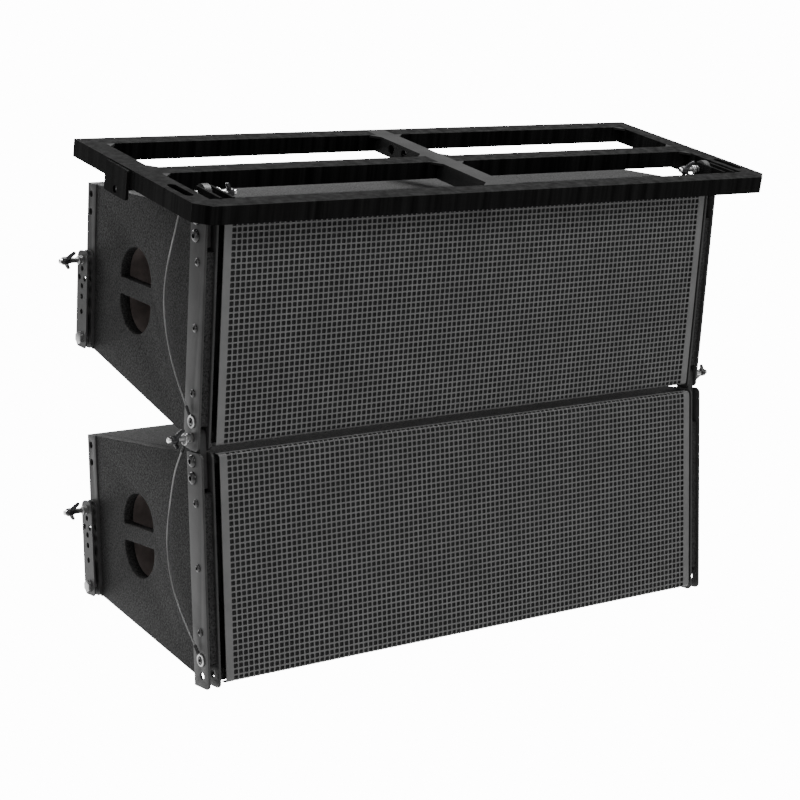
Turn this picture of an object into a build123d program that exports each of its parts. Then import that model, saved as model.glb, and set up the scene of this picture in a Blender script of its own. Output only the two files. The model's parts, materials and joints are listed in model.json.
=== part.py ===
from build123d import *
import math
import os

# Two line-array cabinets hanging from a fly frame. Millimetres, +X to the audience's right
# as seen from the front, +Y to the rear, +Z up. The origin is the centre of the middle
# pick hole in the fly frame's pick bar, and the fly frame hangs level.

# ---- cabinet, in its own frame: origin at the middle of the front bottom edge ----
HALF_WIDTH = 550.0          # to the outer face of the rigging plates
FRONT_HEIGHT = 386.0
DEPTH = 412.0
REAR_TOP = 369.0
REAR_BOTTOM = 85.0
WALL = 18.0                 # plywood
SIDE_IN = 530.0             # inner face of the side panels
SIDE_OUT = 548.0
PLATE = 4.0                 # rigging plates
PLATE_FRONT = 4.0
PLATE_BACK = 52.0
PLATE_BOTTOM = -7.0
PLATE_TOP = 387.5
OUTER_PLATE = 546.0         # inner face of the outer rigging plates
INNER_PLATE = 526.0         # inner face of the inner rigging plates
CHEEK_FRONT = 8.0
CHEEK_BOTTOM = 36.0
CHEEK_TOP = 322.0
STRIP_FRONT = 382.0         # rear rigging strips
PANEL_FRONT = 17.0          # front edge of the top and bottom panels
BAFFLE_FRONT = 52.0
GAP = 0.2                   # glue line between separate wooden pieces

# ---- grille ----
GRILLE_HALF = 518.0
GRILLE_SHEET = 1.5
GRILLE_RETURN = 16.0
GRILLE_BEND = 8.0

# ---- rigging: places are (Y, Z) in the cabinet's frame ----
PIN_R = 6.0
PIN_HOLE_R = 6.075
LINK_PIN = (34.0, 412.0)    # hole in the link that stands above the cabinet
SLOT_PIN = (26.0, 14.0)     # hole through the plates at the bottom slot
LINK_IN = 532.0
LINK_THICK = 12.0
LINK_R = 16.0
LINK_BOTTOM = 328.0
LINK_BOLTS = ((34.0, 373.0), (34.0, 345.0))
PLATE_SCREWS = ((26.0, 304.0), (26.0, 196.0), (26.0, 88.0), (26.0, 41.0))
BOLT_R = 6.0
BOLT_HEAD_R = 11.0
BOLT_HEAD = 6.0
SCREW_R = 3.0
SCREW_HEAD_R = 7.0
SCREW_HEAD = 3.5
HEX_R = 10.97               # across the corners of a 19 mm head
HEX_HEAD = 7.0
HEX_END = 532.0             # the pivot bolt's inner end
EYELET_R = 11.0
EYELET_PLATE = 3.0
PLATE_CORNER_R = 10.0
STRIP_HOLES = ((400.0, 351.0), (400.0, 320.0))
TIP_ROOM = 36.0             # notch behind the link slot's pin
POCKET_Y = (392.0, 408.0)   # pocket behind those holes
POCKET_Z = (312.0, 359.0)
ARM_PIVOT = (400.0, 97.0)
ARM_PIN = (400.0, 236.0)
ARM_HOLES = ((400.0, 220.5), (390.0, 204.0), (410.0, 204.0), (400.0, 190.0), (400.0, 171.0), (400.0, 144.0))
ARM_HOLE_R = 5.0
ARM_IN = 551.0
ARM_THICK = 13.0
ARM_WALL = 3.0
ARM_WIDTH = 38.0
ARM_BOTTOM = 80.0
ARM_TOP = 252.0
ARM_TOP_R = 14.0
ARM_CHAMFER = 6.0

# ---- quick-release pins: lengths run outwards from the face that the pin stands on ----
COLLAR_R = 7.5
COLLAR = 9.0
NECK_R = 5.0
NECK = 18.0
HUB_R = 7.0
HUB = 12.0
BUTTON_R = 4.5
BUTTON_BORE_R = 4.56
BUTTON_OUT = 5.0
BUTTON_GAP = 3.0            # behind the button, for its travel
BORE_DEPTH = 7.0
WING_R = 3.6
WING_ROOT = 3.0             # from the hub's inner face
WING_START = 5.0            # from the pin's axis
WING_LENGTH = 18.0
WING_SWEEP = 26.0           # degrees that the wings lean back
WING_ROLL = 36.0            # degrees between the wings' plane and the upright
RING_R = 9.0
RING_WIRE = 1.1
RING_PLACE = 13.0
RING_SAG = 2.6
SEATED = 2.0                # of the tip beyond the last plate
REAR_GRIP = 12.0            # a rear pin ends inside the arm's inner flange

# ---- lanyards: (distance from the middle plane, Y, Z) in the cabinet's frame ----
CORD_D = 3.0
CRIMP_R = 3.2
CRIMP = 16.0
LOWER_CORD = (
    (562.0, 46.8, 388.3), (561.0, 69.0, 361.5), (558.5, 88.0, 327.0), (557.0, 103.0, 288.0),
    (556.5, 115.0, 250.0), (556.0, 119.0, 211.0), (556.0, 113.0, 173.0), (556.5, 97.0, 139.0),
    (557.0, 75.0, 110.0), (557.0, 52.0, 85.0), (556.0, 36.5, 65.5),
)
UPPER_CORD = (
    (521.5, 55.5, 399.7), (531.0, 64.0, 396.5), (542.0, 69.0, 394.0), (550.5, 72.0, 389.0),
    (556.0, 74.5, 380.5), (558.0, 79.0, 368.0), (558.0, 86.5, 345.0), (557.0, 101.0, 312.0),
    (556.0, 114.0, 278.0), (556.0, 121.0, 241.0), (556.0, 119.0, 203.0), (556.0, 108.0, 166.0),
    (556.5, 90.0, 132.0), (557.0, 68.0, 103.0), (557.0, 49.0, 82.0), (556.0, 36.5, 65.5),
)

# ---- side handle: a rounded opening crossed by a level bar of the panel ----
HANDLE = (234.0, 214.0)
HANDLE_R = 53.0
HANDLE_HEIGHT = 148.0
HANDLE_BAR = 29.0
ARCH_SECTORS = 6
POCKET_DEPTH = 52.0
POCKET_WALL = 4.0
POCKET_ROOM = 4.0           # between the opening's edge and the cup's wall

# ---- drivers ----
WOOFER_X = 355.0
WOOFER_Z = 193.0
WOOFER_HOLE_R = 141.0
WOOFER_FLANGE = 8.0
WOOFER_BOLT_R = 148.0
WOOFER_BOLTS = 8
WOOFER_BOLT_START = 22.5
SMALL_SCREW_R = 2.0
SMALL_SCREW_LENGTH = 12.0
HORN_Z = 195.0
HORN_FACE = (300.0, 324.0)
HORN_FLANGE = 6.0
HORN_CUTOUT = (276.0, 302.0)
HORN_BACK = 150.0
PLATE_SIZE = (190.0, 110.0)  # input panel
INPUT_Z = 235.0
PANEL_PLATE = 3.0
SOCKET_X = 40.0
SOCKET_R = 13.0
SOCKET_DEPTH = 30.0

# ---- fly frame: X across, Y from its front face, Z from mid-height ----
FRAME_HALF = 609.0
FRAME_DEPTH = 430.0
TUBE = 40.0
TUBE_HALF_HEIGHT = 15.0
TUBE_WALL = 4.0
CORNER = 24.0
CROSS_Y = 215.0
PICK_Y = 300.0
PICK_PITCH = 40.0
PICK_R = 9.0
FRAME_PIN = (111.0, 3.5)
LUG_IN = 524.0              # inner face of the inner lugs
LUG_OUT = 547.0             # inner face of the outer lugs
LUG_PLATE = 5.0
LUG_R = 13.0
SLOT_X = 589.0
SLOT_Y = 98.0
SLOT_LENGTH = 70.0
SLOT_WIDTH = 16.0
BRACKET_Y = 265.0
BRACKET_LENGTH = 76.0
BRACKET_DROP = 22.0
BRACKET_PLATE = 5.0
BRACKET_HOLE_R = 6.5
GUSSET = 16.0
GUSSET_PLATE = 4.0

# ---- angles of the hang: each cabinet's rear is lower than the piece above it ----
UPPER_PITCH = math.radians(-5.7)
LOWER_PITCH = math.radians(-5.7 - 7.8)


def turned(point, pitch):
    y, z = point
    return (y * math.cos(pitch) - z * math.sin(pitch), y * math.sin(pitch) + z * math.cos(pitch))


def hung_from(anchor, own_point, pitch):
    """The frame of a cabinet whose own_point, a (Y, Z), hangs at anchor."""
    y, z = turned(own_point, pitch)
    origin = (0, anchor[0] - y, anchor[1] - z)
    return Plane(origin=origin, x_dir=(1, 0, 0), z_dir=(0, -math.sin(pitch), math.cos(pitch)))


frame = Plane(origin=(0, -PICK_Y, 0))
upper_anchor = (FRAME_PIN[0] - PICK_Y, FRAME_PIN[1])
upper = hung_from(upper_anchor, LINK_PIN, UPPER_PITCH)
slot_offset = turned(SLOT_PIN, UPPER_PITCH)
lower_anchor = (upper.origin.Y + slot_offset[0], upper.origin.Z + slot_offset[1])
lower = hung_from(lower_anchor, LINK_PIN, LOWER_PITCH)


def side_plane(base, x):
    """Drawn in (Y, Z) at a distance x from the middle plane; it faces +X."""
    return Plane(origin=base.from_local_coords((x, 0, 0)), x_dir=base.y_dir, z_dir=base.x_dir)


def front_plane(base, y):
    """Drawn in (X, Z) at a distance y behind the front; it faces the front."""
    return Plane(origin=base.from_local_coords((0, y, 0)), x_dir=base.x_dir, z_dir=-base.y_dir)


def x_axis(base, y, z):
    return Axis(base.from_local_coords((0, y, z)), base.x_dir)


def y_axis(base, x, z):
    return Axis(base.from_local_coords((x, 0, z)), base.y_dir)


def top_at(y):
    return FRONT_HEIGHT - y * (FRONT_HEIGHT - REAR_TOP) / DEPTH


def bottom_at(y):
    return y * REAR_BOTTOM / DEPTH


def outline(*points):
    return Polygon(*points, align=None)


# ------------------------------------------------------------------ cabinet woodwork

def side_slab(cab, s, front, back, thickness):
    """A full-height upright slab of the side panel."""
    with BuildPart() as slab:
        with BuildSketch(side_plane(cab, s * SIDE_IN)):
            outline((front, bottom_at(front)), (back, bottom_at(back)), (back, top_at(back)), (front, top_at(front)))
        extrude(amount=s * thickness)
    return slab


def rear_blocks(cab, s):
    """The thinner wood under the rear strip, with a pocket behind its pin holes."""
    front, back = POCKET_Y
    low, high = POCKET_Z
    slab = [
        (STRIP_FRONT, bottom_at(STRIP_FRONT)), (DEPTH, REAR_BOTTOM), (DEPTH, low), (STRIP_FRONT, low),
    ]
    ahead = [(STRIP_FRONT, low), (front, low), (front, high), (STRIP_FRONT, high)]
    behind = [(back, low), (DEPTH, low), (DEPTH, high), (back, high)]
    cap = [(STRIP_FRONT, high), (DEPTH, high), (DEPTH, REAR_TOP), (STRIP_FRONT, top_at(STRIP_FRONT))]
    blocks = []
    for corners in (slab, ahead, behind, cap):
        with BuildPart() as block:
            with BuildSketch(side_plane(cab, s * SIDE_IN)):
                outline(*corners)
            extrude(amount=s * (WALL - 2))
            if corners is slab:
                with BuildSketch(side_plane(cab, s * OUTER_PLATE)):
                    with Locations(ARM_PIVOT):
                        Circle(BOLT_R)
                extrude(amount=-s * (OUTER_PLATE - HEX_END), mode=Mode.SUBTRACT)
        blocks.append(block)
    return blocks


def fan(number, way):
    """The part of a half disc that one sector covers, drawn from the disc's centre."""
    step = 180 / ARCH_SECTORS
    far = 2 * FRONT_HEIGHT
    rays = [math.radians(step * n) for n in (number, number + 1)]
    points = [(far * math.cos(a), way * far * math.sin(a)) for a in rays]
    return Polygon((0, 0), *points, align=None, mode=Mode.PRIVATE)


def arch_centre(way):
    return (HANDLE[0], HANDLE[1] + way * (HANDLE_HEIGHT / 2 - HANDLE_R))


def arch_blocks(cab, s):
    """The panel above and below the handle's round-ended opening, in sectors."""
    blocks = []
    for way, edge in ((1, top_at), (-1, bottom_at)):
        y, z = arch_centre(way)
        for number in range(ARCH_SECTORS):
            with BuildPart() as block:
                with BuildSketch(side_plane(cab, s * SIDE_IN)):
                    outline(
                        (y - HANDLE_R, z), (y + HANDLE_R, z),
                        (y + HANDLE_R, edge(y + HANDLE_R)), (y - HANDLE_R, edge(y - HANDLE_R)),
                    )
                    with Locations((y, z)):
                        shape = fan(number, way).face()
                    add(shape, mode=Mode.INTERSECT)
                    with Locations((y, z)):
                        Circle(HANDLE_R, mode=Mode.SUBTRACT)
                extrude(amount=s * WALL)
            blocks.append(block)
    return blocks


def handle_bar(cab, s):
    with BuildPart() as bar:
        with BuildSketch(side_plane(cab, s * SIDE_IN)):
            with Locations(HANDLE):
                Rectangle(2 * HANDLE_R, HANDLE_BAR)
        extrude(amount=s * WALL)
    return bar


def cheek(cab, s):
    """The wooden edge between the two front rigging plates."""
    with BuildPart() as piece:
        with BuildSketch(side_plane(cab, s * SIDE_IN)):
            with Locations(((CHEEK_FRONT + PLATE_BACK - GAP) / 2, (CHEEK_BOTTOM + CHEEK_TOP) / 2)):
                Rectangle(PLATE_BACK - GAP - CHEEK_FRONT, CHEEK_TOP - CHEEK_BOTTOM)
            with Locations(*PLATE_SCREWS):
                Circle(SCREW_R, mode=Mode.SUBTRACT)
        extrude(amount=s * (OUTER_PLATE - SIDE_IN))
    return piece


def side_panels(cab):
    """Both side panels as simple blocks that meet face to face round the handles."""
    near = HANDLE[0] - HANDLE_R
    far = HANDLE[0] + HANDLE_R
    blocks = []
    for s in (-1, 1):
        blocks.append(side_slab(cab, s, PLATE_BACK, near, WALL))
        blocks.append(side_slab(cab, s, far, STRIP_FRONT, WALL))
        blocks += rear_blocks(cab, s)
        blocks.append(handle_bar(cab, s))
        blocks.append(cheek(cab, s))
        blocks += arch_blocks(cab, s)
    return blocks


def level_panel(cab, low_at, high_at):
    """A top or bottom panel, notched at its front corners for the rigging plates."""
    back = DEPTH - WALL
    with BuildPart() as panel:
        with BuildSketch(side_plane(cab, 0)):
            outline(
                (PANEL_FRONT, low_at(PANEL_FRONT)), (back, low_at(back)),
                (back, high_at(back)), (PANEL_FRONT, high_at(PANEL_FRONT)),
            )
        extrude(amount=SIDE_IN, both=True)
        for s in (-1, 1):
            with BuildSketch(side_plane(cab, s * INNER_PLATE)):
                outline((0, -40), (PLATE_BACK, -40), (PLATE_BACK, 430), (0, 430))
            extrude(amount=s * 10, mode=Mode.SUBTRACT)
    return panel


def top_panel(cab):
    return level_panel(cab, lambda y: top_at(y) - WALL, top_at)


def bottom_panel(cab):
    """The bottom panel also leaves room behind each link slot for a pin's tip."""
    blank = level_panel(cab, bottom_at, lambda y: bottom_at(y) + WALL)
    with BuildPart() as panel:
        add(blank.part)
        for s in (-1, 1):
            with BuildSketch(side_plane(cab, s * (INNER_PLATE + 1))):
                outline((0, -40), (TIP_ROOM, -40), (TIP_ROOM, 60), (0, 60))
            extrude(amount=-s * 7, mode=Mode.SUBTRACT)
    return panel


def rear_panel(cab):
    front = DEPTH - WALL
    with BuildPart() as panel:
        with BuildSketch(side_plane(cab, 0)):
            outline((front, bottom_at(front)), (DEPTH, REAR_BOTTOM), (DEPTH, REAR_TOP), (front, top_at(front)))
        extrude(amount=SIDE_IN, both=True)
        with BuildSketch(front_plane(cab, front - 1)):
            with Locations((0, INPUT_Z)):
                Rectangle(PLATE_SIZE[0] - 40, PLATE_SIZE[1] - 40)
        extrude(amount=-WALL - 2, mode=Mode.SUBTRACT)
    return panel


def front_baffle(cab):
    back = BAFFLE_FRONT + WALL
    with BuildPart() as baffle:
        with BuildSketch(side_plane(cab, 0)):
            outline(
                (BAFFLE_FRONT, bottom_at(BAFFLE_FRONT) + WALL), (back, bottom_at(back) + WALL),
                (back, top_at(back) - WALL), (BAFFLE_FRONT, top_at(BAFFLE_FRONT) - WALL),
            )
        extrude(amount=SIDE_IN, both=True)
        with BuildSketch(front_plane(cab, BAFFLE_FRONT - 1)):
            with Locations((-WOOFER_X, WOOFER_Z), (WOOFER_X, WOOFER_Z)):
                Circle(WOOFER_HOLE_R)
            with Locations((0, HORN_Z)):
                Rectangle(*HORN_CUTOUT)
        extrude(amount=-WALL - 2, mode=Mode.SUBTRACT)
        with BuildSketch(front_plane(cab, BAFFLE_FRONT)):
            for x in (-WOOFER_X, WOOFER_X):
                with Locations((x, WOOFER_Z)):
                    with PolarLocations(WOOFER_BOLT_R, WOOFER_BOLTS, WOOFER_BOLT_START):
                        Circle(SMALL_SCREW_R)
        extrude(amount=-SMALL_SCREW_LENGTH, mode=Mode.SUBTRACT)
    return baffle


# ------------------------------------------------------------------ front of the cabinet

def grille(cab):
    """A steel sheet folded back along its top and bottom edges."""
    tall = FRONT_HEIGHT - 2.0
    middle = FRONT_HEIGHT / 2
    with BuildPart() as sheet:
        with BuildSketch(side_plane(cab, 0)):
            with Locations((GRILLE_RETURN, middle)):
                RectangleRounded(2 * GRILLE_RETURN, tall, GRILLE_BEND)
                RectangleRounded(
                    2 * (GRILLE_RETURN - GRILLE_SHEET), tall - 2 * GRILLE_SHEET,
                    GRILLE_BEND - GRILLE_SHEET, mode=Mode.SUBTRACT,
                )
            with Locations((1.5 * GRILLE_RETURN, middle)):
                Rectangle(GRILLE_RETURN, tall + 2, mode=Mode.SUBTRACT)
        extrude(amount=GRILLE_HALF, both=True)
    return sheet


def woofer_frames(cab):
    """Pressed basket with its motor: one closed turning for each driver."""
    with BuildPart() as frames:
        for x in (-WOOFER_X, WOOFER_X):
            with BuildSketch(side_plane(cab, x)):
                with Locations((0, WOOFER_Z)):
                    outline(
                        (44, 134), (44, 157), (52, 157), (52, 139), (146, 88), (146, 95),
                        (196, 95), (196, 0), (140, 0), (140, 84), (50, 134),
                    )
            revolve(axis=y_axis(cab, x, WOOFER_Z))
            with BuildSketch(front_plane(cab, BAFFLE_FRONT - 9)):
                with Locations((x, WOOFER_Z)):
                    with PolarLocations(WOOFER_BOLT_R, WOOFER_BOLTS, WOOFER_BOLT_START):
                        Circle(SMALL_SCREW_R)
            extrude(amount=-10, mode=Mode.SUBTRACT)
    return frames


def woofer_cones(cab):
    with BuildPart() as cones:
        for x in (-WOOFER_X, WOOFER_X):
            with BuildSketch(side_plane(cab, x)):
                with Locations((0, WOOFER_Z)):
                    outline(
                        (45, 134), (48, 134), (48, 120), (110, 34), (104, 0), (101, 0),
                        (106, 34), (45, 118),
                    )
            revolve(axis=y_axis(cab, x, WOOFER_Z))
    return cones


def hf_horn(cab):
    """Flanged waveguide that narrows from a tall mouth to a slot."""
    back = HORN_BACK
    with BuildPart() as horn:
        with BuildSketch(front_plane(cab, BAFFLE_FRONT - HORN_FLANGE)):
            with Locations((0, HORN_Z)):
                Rectangle(*HORN_FACE)
        extrude(amount=-HORN_FLANGE)
        for y, width, height in ((BAFFLE_FRONT - 1, 262, 296), (back, 52, 262)):
            with BuildSketch(front_plane(cab, y)):
                with Locations((0, HORN_Z)):
                    Rectangle(width, height)
        loft()
        for y, width, height in ((BAFFLE_FRONT - HORN_FLANGE - 1, 262, 290), (back + 1, 36, 246)):
            with BuildSketch(front_plane(cab, y)):
                with Locations((0, HORN_Z)):
                    Rectangle(width, height)
        loft(mode=Mode.SUBTRACT)
    return horn


def hf_driver(cab):
    """Compression driver with the throat plate that closes the waveguide's slot."""
    y0 = HORN_BACK
    with BuildPart() as driver:
        with BuildSketch(front_plane(cab, y0)):
            with Locations((0, HORN_Z)):
                Rectangle(60, 270)
        extrude(amount=-8)
        with BuildSketch(side_plane(cab, 0)):
            with Locations((0, HORN_Z)):
                outline((y0 + 8, 0), (y0 + 8, 25), (y0 + 22, 45), (y0 + 22, 85), (y0 + 86, 85), (y0 + 86, 0))
        revolve(axis=y_axis(cab, 0, HORN_Z))
    return driver


def input_panel(cab):
    with BuildPart() as panel:
        with BuildSketch(front_plane(cab, DEPTH)):
            with Locations((0, INPUT_Z)):
                RectangleRounded(*PLATE_SIZE, 8)
            with Locations((-SOCKET_X, INPUT_Z), (SOCKET_X, INPUT_Z)):
                Circle(SOCKET_R + GAP, mode=Mode.SUBTRACT)
        extrude(amount=-PANEL_PLATE)
        with BuildSketch(front_plane(cab, DEPTH - SOCKET_DEPTH)):
            with Locations((-SOCKET_X, INPUT_Z), (SOCKET_X, INPUT_Z)):
                Circle(SOCKET_R)
        extrude(amount=-SOCKET_DEPTH - 6)
        with BuildSketch(front_plane(cab, DEPTH + 7)):
            with Locations((-SOCKET_X, INPUT_Z), (SOCKET_X, INPUT_Z)):
                Circle(SOCKET_R - 2.5)
        extrude(amount=SOCKET_DEPTH - 6, mode=Mode.SUBTRACT)
    return panel


def pocket_back(cab, s):
    grow = POCKET_ROOM + POCKET_WALL
    with BuildPart() as plate:
        with BuildSketch(side_plane(cab, s * (SIDE_IN - POCKET_DEPTH))):
            with Locations(HANDLE):
                SlotOverall(HANDLE_HEIGHT + 2 * grow, 2 * (HANDLE_R + grow), rotation=90)
        extrude(amount=s * POCKET_WALL)
    return plate


def pocket_sides(cab, s):
    """The cup's wall: two flat stretches and two round ends in sectors."""
    inner = HANDLE_R + POCKET_ROOM
    outer = inner + POCKET_WALL
    straight = HANDLE_HEIGHT - 2 * HANDLE_R
    base = side_plane(cab, s * (SIDE_IN - POCKET_DEPTH + POCKET_WALL))
    pieces = []
    for way in (-1, 1):
        with BuildPart() as flat:
            with BuildSketch(base):
                with Locations((HANDLE[0] + way * (inner + outer) / 2, HANDLE[1])):
                    Rectangle(POCKET_WALL, straight)
            extrude(amount=s * (POCKET_DEPTH - POCKET_WALL))
        pieces.append(flat)
        for number in range(ARCH_SECTORS):
            with BuildPart() as bend:
                with BuildSketch(base):
                    with Locations(arch_centre(way)):
                        Circle(outer)
                        shape = fan(number, way).face()
                    add(shape, mode=Mode.INTERSECT)
                    with Locations(arch_centre(way)):
                        Circle(inner, mode=Mode.SUBTRACT)
                extrude(amount=s * (POCKET_DEPTH - POCKET_WALL))
            pieces.append(bend)
    return pieces


def handle_pockets(cab):
    """Closed cups behind the side handles' openings."""
    pieces = []
    for s in (-1, 1):
        pieces.append(pocket_back(cab, s))
        pieces += pocket_sides(cab, s)
    return pieces


# ------------------------------------------------------------------ rigging

def rigging_plates(cab):
    """Outer and inner front plates and the rear strips, one of each on each side."""
    tall = PLATE_TOP - PLATE_BOTTOM
    with BuildPart() as plates:
        for s in (-1, 1):
            for x in (OUTER_PLATE, INNER_PLATE):
                with BuildSketch(side_plane(cab, s * x)):
                    with Locations(((PLATE_FRONT + PLATE_BACK) / 2, (PLATE_TOP + PLATE_BOTTOM) / 2)):
                        face = Rectangle(PLATE_BACK - PLATE_FRONT, tall)
                    fillet(face.vertices().group_by(Axis.X)[0], PLATE_CORNER_R)
                    with Locations(SLOT_PIN):
                        Circle(PIN_HOLE_R, mode=Mode.SUBTRACT)
                    with Locations(*LINK_BOLTS):
                        Circle(BOLT_R, mode=Mode.SUBTRACT)
                    with Locations(*PLATE_SCREWS):
                        Circle(SCREW_R, mode=Mode.SUBTRACT)
                extrude(amount=s * PLATE)
            with BuildSketch(side_plane(cab, s * OUTER_PLATE)):
                outline(
                    (STRIP_FRONT, bottom_at(STRIP_FRONT)), (DEPTH, REAR_BOTTOM),
                    (DEPTH, REAR_TOP), (STRIP_FRONT, top_at(STRIP_FRONT)),
                )
                with Locations(*STRIP_HOLES):
                    Circle(PIN_HOLE_R, mode=Mode.SUBTRACT)
                with Locations(ARM_PIVOT):
                    Circle(BOLT_R, mode=Mode.SUBTRACT)
            extrude(amount=s * PLATE)
    return plates


def links(cab):
    """Upright bars, bolted between the front plates, that carry the cabinet."""
    y, z = LINK_PIN
    with BuildPart() as bars:
        for s in (-1, 1):
            with BuildSketch(side_plane(cab, s * LINK_IN)):
                with Locations((y, (z + LINK_BOTTOM) / 2)):
                    Rectangle(2 * LINK_R, z - LINK_BOTTOM)
                with Locations(LINK_PIN):
                    Circle(LINK_R)
                    Circle(PIN_HOLE_R, mode=Mode.SUBTRACT)
                with Locations(*LINK_BOLTS):
                    Circle(BOLT_R, mode=Mode.SUBTRACT)
            extrude(amount=s * LINK_THICK)
    return bars


def rear_arm(cab, s):
    """Channel, open to the front, that hangs the rear of the next cabinet."""
    middle = ARM_PIVOT[0]
    with BuildPart() as arm:
        with BuildSketch(side_plane(cab, s * ARM_IN)) as face:
            with Locations((middle, (ARM_TOP + ARM_BOTTOM) / 2)):
                Rectangle(ARM_WIDTH, ARM_TOP - ARM_BOTTOM)
            fillet(face.vertices().group_by(Axis.Y)[-1], ARM_TOP_R)
            chamfer(face.vertices().group_by(Axis.Y)[0], ARM_CHAMFER)
        extrude(amount=s * ARM_THICK)
        with BuildSketch(side_plane(cab, s * (ARM_IN + ARM_WALL))):
            with Locations((middle - ARM_WALL, (ARM_TOP + ARM_BOTTOM) / 2)):
                Rectangle(ARM_WIDTH, ARM_TOP - ARM_BOTTOM + 10)
        extrude(amount=s * (ARM_THICK - 2 * ARM_WALL), mode=Mode.SUBTRACT)
        with BuildSketch(side_plane(cab, s * (ARM_IN - 1))):
            with Locations(ARM_PIVOT, ARM_PIN):
                Circle(PIN_HOLE_R)
            with Locations(*ARM_HOLES):
                Circle(ARM_HOLE_R)
        extrude(amount=s * (ARM_THICK + 2), mode=Mode.SUBTRACT)
    return arm


def outward_plane(cab, s, x, place):
    """Drawn in (distance outwards from x, radius) through an axis along X."""
    y, z = place
    origin = cab.from_local_coords((x, y, z))
    return Plane(origin=origin, x_dir=cab.x_dir * s, z_dir=cab.y_dir * -s)


def domed_bolt(cab, s, place, shank_r, head_r, head):
    shank = HALF_WIDTH - INNER_PLATE
    with BuildPart() as bolt:
        with BuildSketch(outward_plane(cab, s, s * HALF_WIDTH, place)):
            outline(
                (-shank, 0), (-shank, shank_r), (0, shank_r), (0, head_r), (0.3 * head, 0.96 * head_r),
                (0.65 * head, 0.76 * head_r), (0.9 * head, 0.45 * head_r), (head, 0.2 * head_r), (head, 0),
            )
        revolve(axis=x_axis(cab, *place))
    return bolt.part


def fasteners(cab, route):
    """Everything that holds the rigging, with each lanyard's lower eyelet and crimp."""
    with BuildPart() as bolts:
        for s in (-1, 1):
            for place in LINK_BOLTS:
                add(domed_bolt(cab, s, place, BOLT_R, BOLT_HEAD_R, BOLT_HEAD))
            for place in PLATE_SCREWS:
                add(domed_bolt(cab, s, place, SCREW_R, SCREW_HEAD_R, SCREW_HEAD))
            with BuildSketch(side_plane(cab, s * HALF_WIDTH)):
                with Locations(PLATE_SCREWS[-1]):
                    Circle(EYELET_R)
                    Circle(SCREW_HEAD_R + GAP, mode=Mode.SUBTRACT)
            extrude(amount=s * EYELET_PLATE)
            with BuildSketch(side_plane(cab, s * HEX_END)):
                with Locations(ARM_PIVOT):
                    Circle(BOLT_R)
            extrude(amount=s * (ARM_IN + ARM_THICK + GAP - HEX_END))
            with BuildSketch(side_plane(cab, s * (ARM_IN + ARM_THICK + GAP))):
                with Locations(ARM_PIVOT):
                    RegularPolygon(HEX_R, 6)
            extrude(amount=s * HEX_HEAD)
            add(crimp(cab, s, route[-1], route[-2]))
        for x in (-WOOFER_X, WOOFER_X):
            with BuildSketch(front_plane(cab, BAFFLE_FRONT + SMALL_SCREW_LENGTH)):
                with Locations((x, WOOFER_Z)):
                    with PolarLocations(WOOFER_BOLT_R, WOOFER_BOLTS, WOOFER_BOLT_START):
                        Circle(SMALL_SCREW_R)
            extrude(amount=SMALL_SCREW_LENGTH + WOOFER_FLANGE + 3)
    return bolts


def crimp(cab, s, end, before):
    """The ferrule that carries a wire's line on past its end."""
    start = Vector(cab.from_local_coords((s * end[0], end[1], end[2])))
    previous = Vector(cab.from_local_coords((s * before[0], before[1], before[2])))
    with BuildPart() as ferrule:
        with BuildSketch(Plane(origin=start, z_dir=start - previous)):
            Circle(CRIMP_R)
        extrude(amount=CRIMP)
    return ferrule.part


def lanyard(cab, s, route):
    points = [cab.from_local_coords((s * x, y, z)) for x, y, z in route]
    runs = [Vector(b) - Vector(a) for a, b in zip(points, points[1:])]
    radii = []
    for before, after in zip(runs, runs[1:]):
        half_turn = math.radians(before.get_angle(after)) / 2
        radii.append(0.45 * min(before.length, after.length) / math.tan(half_turn))
    with BuildPart() as wire:
        with BuildLine() as path:
            FilletPolyline(*points, radius=radii)
        with BuildSketch(Plane(origin=path.line @ 0, z_dir=path.line % 0)):
            Circle(CORD_D / 2)
        sweep(path=path.line)
    reach = sum(edge.length for edge in path.edges())
    section = math.pi * CORD_D**2 / 4
    print("lanyard runs", [round(r.length, 1) for r in runs], "length", round(reach, 1))
    print("lanyard radii", [round(r, 1) for r in radii])
    print("volume over section times length", round(wire.part.volume / (section * reach), 4))
    return wire


# ------------------------------------------------------------------ quick-release pins

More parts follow.
